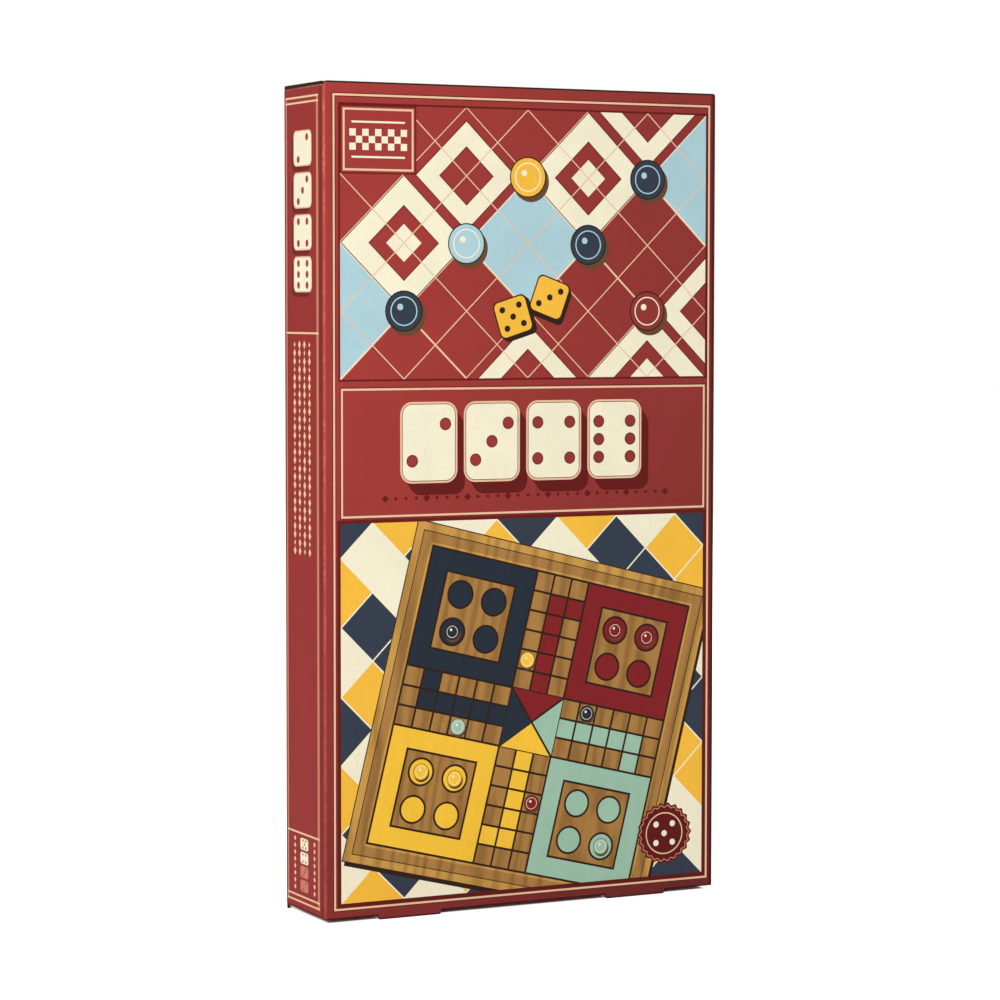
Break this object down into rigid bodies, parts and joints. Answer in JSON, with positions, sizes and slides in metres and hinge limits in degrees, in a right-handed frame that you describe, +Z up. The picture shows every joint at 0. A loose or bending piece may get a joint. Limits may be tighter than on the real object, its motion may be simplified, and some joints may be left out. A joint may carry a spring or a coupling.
{
  "type": "boxed folding ludo set",
  "caption": "Upright printed carton with tuck top and tongue-locked bottom, holding a folding wooden ludo case with pawns and a die.",
  "frame": {"origin": "on the surface that the carton stands on, under the middle of the carton", "axes": "+Z up along the carton's height, front towards -Y, spine towards -X"},
  "size_m": [0.16, 0.036, 0.3],
  "materials": {
    "printed_carton": "printed, satin varnish",
    "leaflet_paper": "uncoated",
    "case_wood": "stained and lacquered",
    "playing_surface": "printed and lacquered plywood",
    "brass_fittings": "polished",
    "pawn_red_paint": "gloss paint",
    "pawn_yellow_paint": "gloss paint",
    "pawn_blue_paint": "gloss paint",
    "pawn_green_paint": "gloss paint",
    "die_wood": "waxed"
  },
  "bodies": {
    "carton": {"front_panel": "printed_carton", "back_panel": "printed_carton", "spine_panel": "printed_carton", "right_panel": "printed_carton", "glue_lap": "printed_carton", "rules_leaflet": "leaflet_paper"},
    "wooden_case": {"front_playing_panel": "playing_surface", "front_clasp_rail": "case_wood", "front_hinge_rail": "case_wood", "front_top_rail": "case_wood", "front_bottom_rail": "case_wood", "front_lower_divider": "case_wood", "front_upper_divider": "case_wood", "back_playing_panel": "playing_surface", "back_clasp_rail": "case_wood", "back_hinge_rail": "case_wood", "back_top_rail": "case_wood", "back_bottom_rail": "case_wood", "back_lower_divider": "case_wood", "back_upper_divider": "case_wood", "lower_hinge_front_leaf": "brass_fittings", "lower_hinge_back_leaf": "brass_fittings", "lower_hinge_pin": "brass_fittings", "upper_hinge_front_leaf": "brass_fittings", "upper_hinge_back_leaf": "brass_fittings", "upper_hinge_pin": "brass_fittings", "lower_hook_pivot": "brass_fittings", "lower_catch_pin": "brass_fittings", "upper_hook_pivot": "brass_fittings", "upper_catch_pin": "brass_fittings", "pawn_red_1": "pawn_red_paint", "pawn_red_2": "pawn_red_paint", "pawn_red_3": "pawn_red_paint", "pawn_red_4": "pawn_red_paint", "pawn_yellow_1": "pawn_yellow_paint", "pawn_yellow_2": "pawn_yellow_paint", "pawn_yellow_3": "pawn_yellow_paint", "pawn_yellow_4": "pawn_yellow_paint", "pawn_blue_1": "pawn_blue_paint", "pawn_blue_2": "pawn_blue_paint", "pawn_blue_3": "pawn_blue_paint", "pawn_blue_4": "pawn_blue_paint", "pawn_green_1": "pawn_green_paint", "pawn_green_2": "pawn_green_paint", "pawn_green_3": "pawn_green_paint", "pawn_green_4": "pawn_green_paint", "die": "die_wood"},
    "lid": {"lid": "printed_carton"},
    "top_dust_flap_spine": {"top_dust_flap_spine": "printed_carton"},
    "top_dust_flap_right": {"top_dust_flap_right": "printed_carton"},
    "bottom_outer_flap": {"bottom_outer_flap": "printed_carton"},
    "bottom_inner_flap": {"bottom_inner_flap": "printed_carton"},
    "bottom_dust_flap_spine": {"bottom_dust_flap_spine": "printed_carton"},
    "bottom_dust_flap_right": {"bottom_dust_flap_right": "printed_carton"},
    "lower_hook": {"lower_hook": "brass_fittings"},
    "upper_hook": {"upper_hook": "brass_fittings"}
  },
  "joints": [
    {"name": "case_slide", "type": "slide", "parent": "carton", "child": "wooden_case", "axis": [0, 0, 1], "range_m": [0, 0.027]},
    {"name": "lid_crease", "type": "hinge", "parent": "carton", "child": "lid", "pos_m": [0, 0.0168, 0.3001], "axis": [-1, 0, 0], "range_deg": [0, 180]},
    {"name": "top_dust_crease_spine", "type": "hinge", "parent": "carton", "child": "top_dust_flap_spine", "pos_m": [-0.0788, 0, 0.2987], "axis": [0, -1, 0], "range_deg": [0, 90]},
    {"name": "top_dust_crease_right", "type": "hinge", "parent": "carton", "child": "top_dust_flap_right", "pos_m": [0.0788, 0, 0.2987], "axis": [0, 1, 0], "range_deg": [0, 90]},
    {"name": "bottom_outer_crease", "type": "hinge", "parent": "carton", "child": "bottom_outer_flap", "pos_m": [0, 0.0168, 0], "axis": [1, 0, 0], "range_deg": [0, 180]},
    {"name": "bottom_inner_crease", "type": "hinge", "parent": "carton", "child": "bottom_inner_flap", "pos_m": [0, -0.0168, 0.0014], "axis": [-1, 0, 0], "range_deg": [0, 90]},
    {"name": "bottom_dust_crease_spine", "type": "hinge", "parent": "carton", "child": "bottom_dust_flap_spine", "pos_m": [-0.0788, 0, 0.0027], "axis": [0, 1, 0], "range_deg": [0, 45]},
    {"name": "bottom_dust_crease_right", "type": "hinge", "parent": "carton", "child": "bottom_dust_flap_right", "pos_m": [0.0788, 0, 0.0027], "axis": [0, -1, 0], "range_deg": [0, 45]},
    {"name": "lower_hook_pivot", "type": "hinge", "parent": "wooden_case", "child": "lower_hook", "pos_m": [-0.07125, -0.0058, 0.0792], "axis": [1, 0, 0], "range_deg": [0, 90]},
    {"name": "upper_hook_pivot", "type": "hinge", "parent": "wooden_case", "child": "upper_hook", "pos_m": [-0.07125, -0.0058, 0.2142], "axis": [1, 0, 0], "range_deg": [0, 90]}
  ],
  "couplings": [
    {"joint": "lid_crease", "follows": "case_slide", "rad_per_m": 116.36},
    {"joint": "top_dust_crease_spine", "follows": "case_slide", "rad_per_m": 58.178},
    {"joint": "top_dust_crease_right", "follows": "case_slide", "rad_per_m": 58.178},
    {"joint": "bottom_inner_crease", "follows": "bottom_outer_crease", "ratio": 0.5},
    {"joint": "bottom_dust_crease_spine", "follows": "bottom_outer_crease", "ratio": 0.25},
    {"joint": "bottom_dust_crease_right", "follows": "bottom_outer_crease", "ratio": 0.25}
  ]
}
